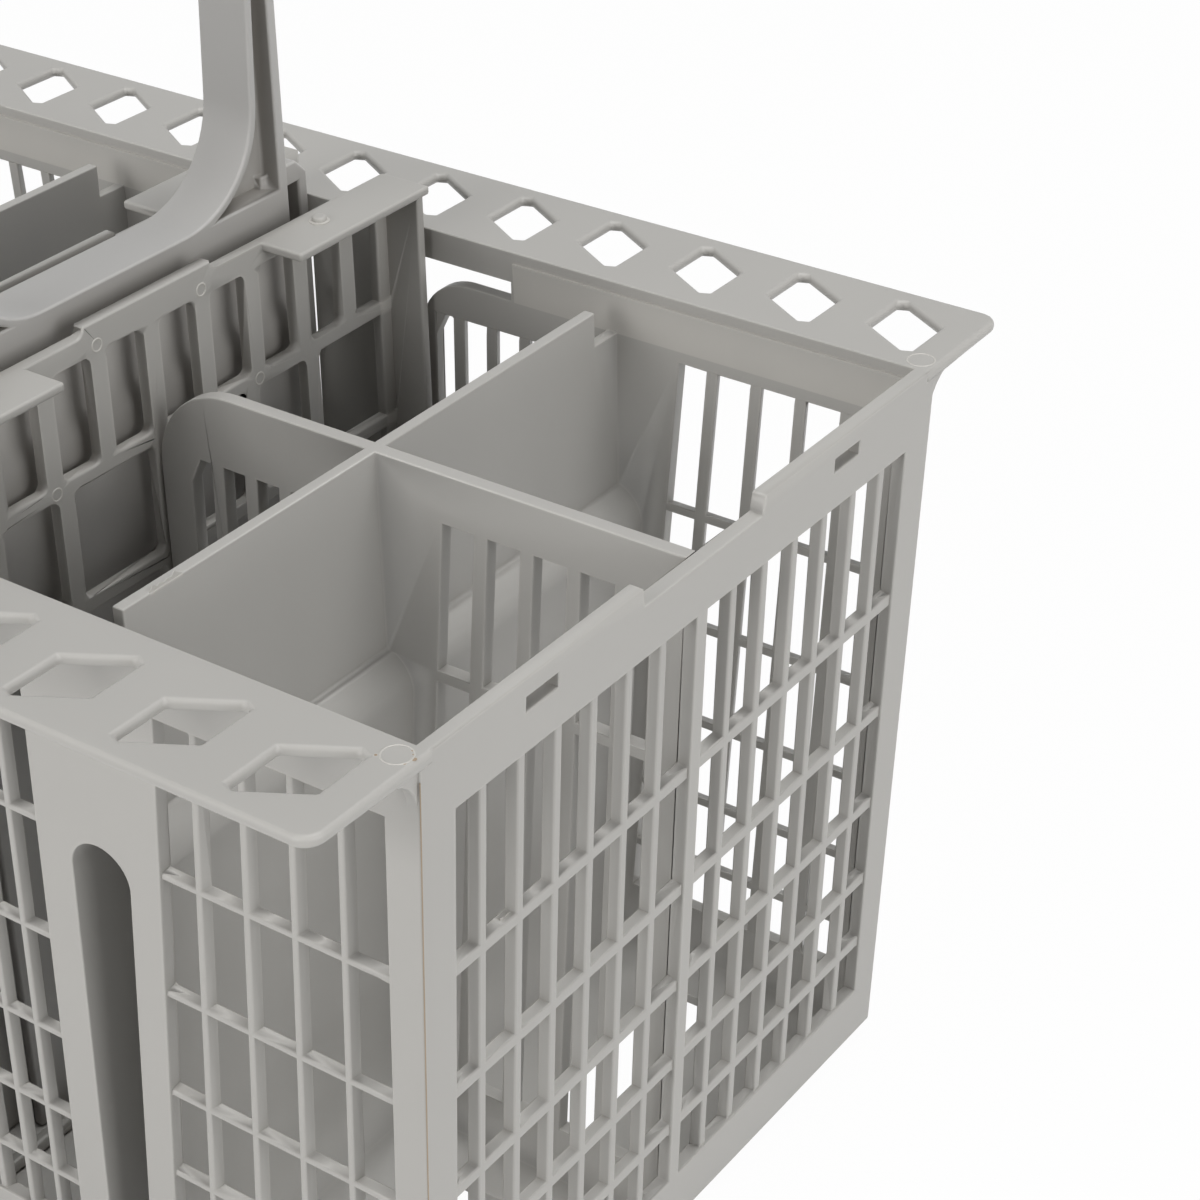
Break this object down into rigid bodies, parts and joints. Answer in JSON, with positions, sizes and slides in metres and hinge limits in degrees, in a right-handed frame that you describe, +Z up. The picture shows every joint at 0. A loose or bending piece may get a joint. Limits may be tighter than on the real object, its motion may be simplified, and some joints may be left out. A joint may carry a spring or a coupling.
{
  "type": "dishwasher cutlery basket",
  "caption": "Open grid cutlery basket for a dishwasher, with dividers, slanted-hole flanges along both sides, a central carrying handle and two loose grille panels.",
  "frame": {"origin": "under the middle of the floor, on the face that the basket stands on", "axes": "+Z up, X along the basket between its end walls, Y across it between the flanges"},
  "size_m": [0.2224, 0.1656, 0.235],
  "materials": {
    "basket_plastic": "satin moulded light grey",
    "handle_plastic": "satin moulded light grey",
    "panel_plastic": "satin moulded light grey"
  },
  "bodies": {
    "root": {"basket": "basket_plastic", "handle": "handle_plastic", "panel_front": "panel_plastic", "panel_back": "panel_plastic"}
  },
  "joints": []
}
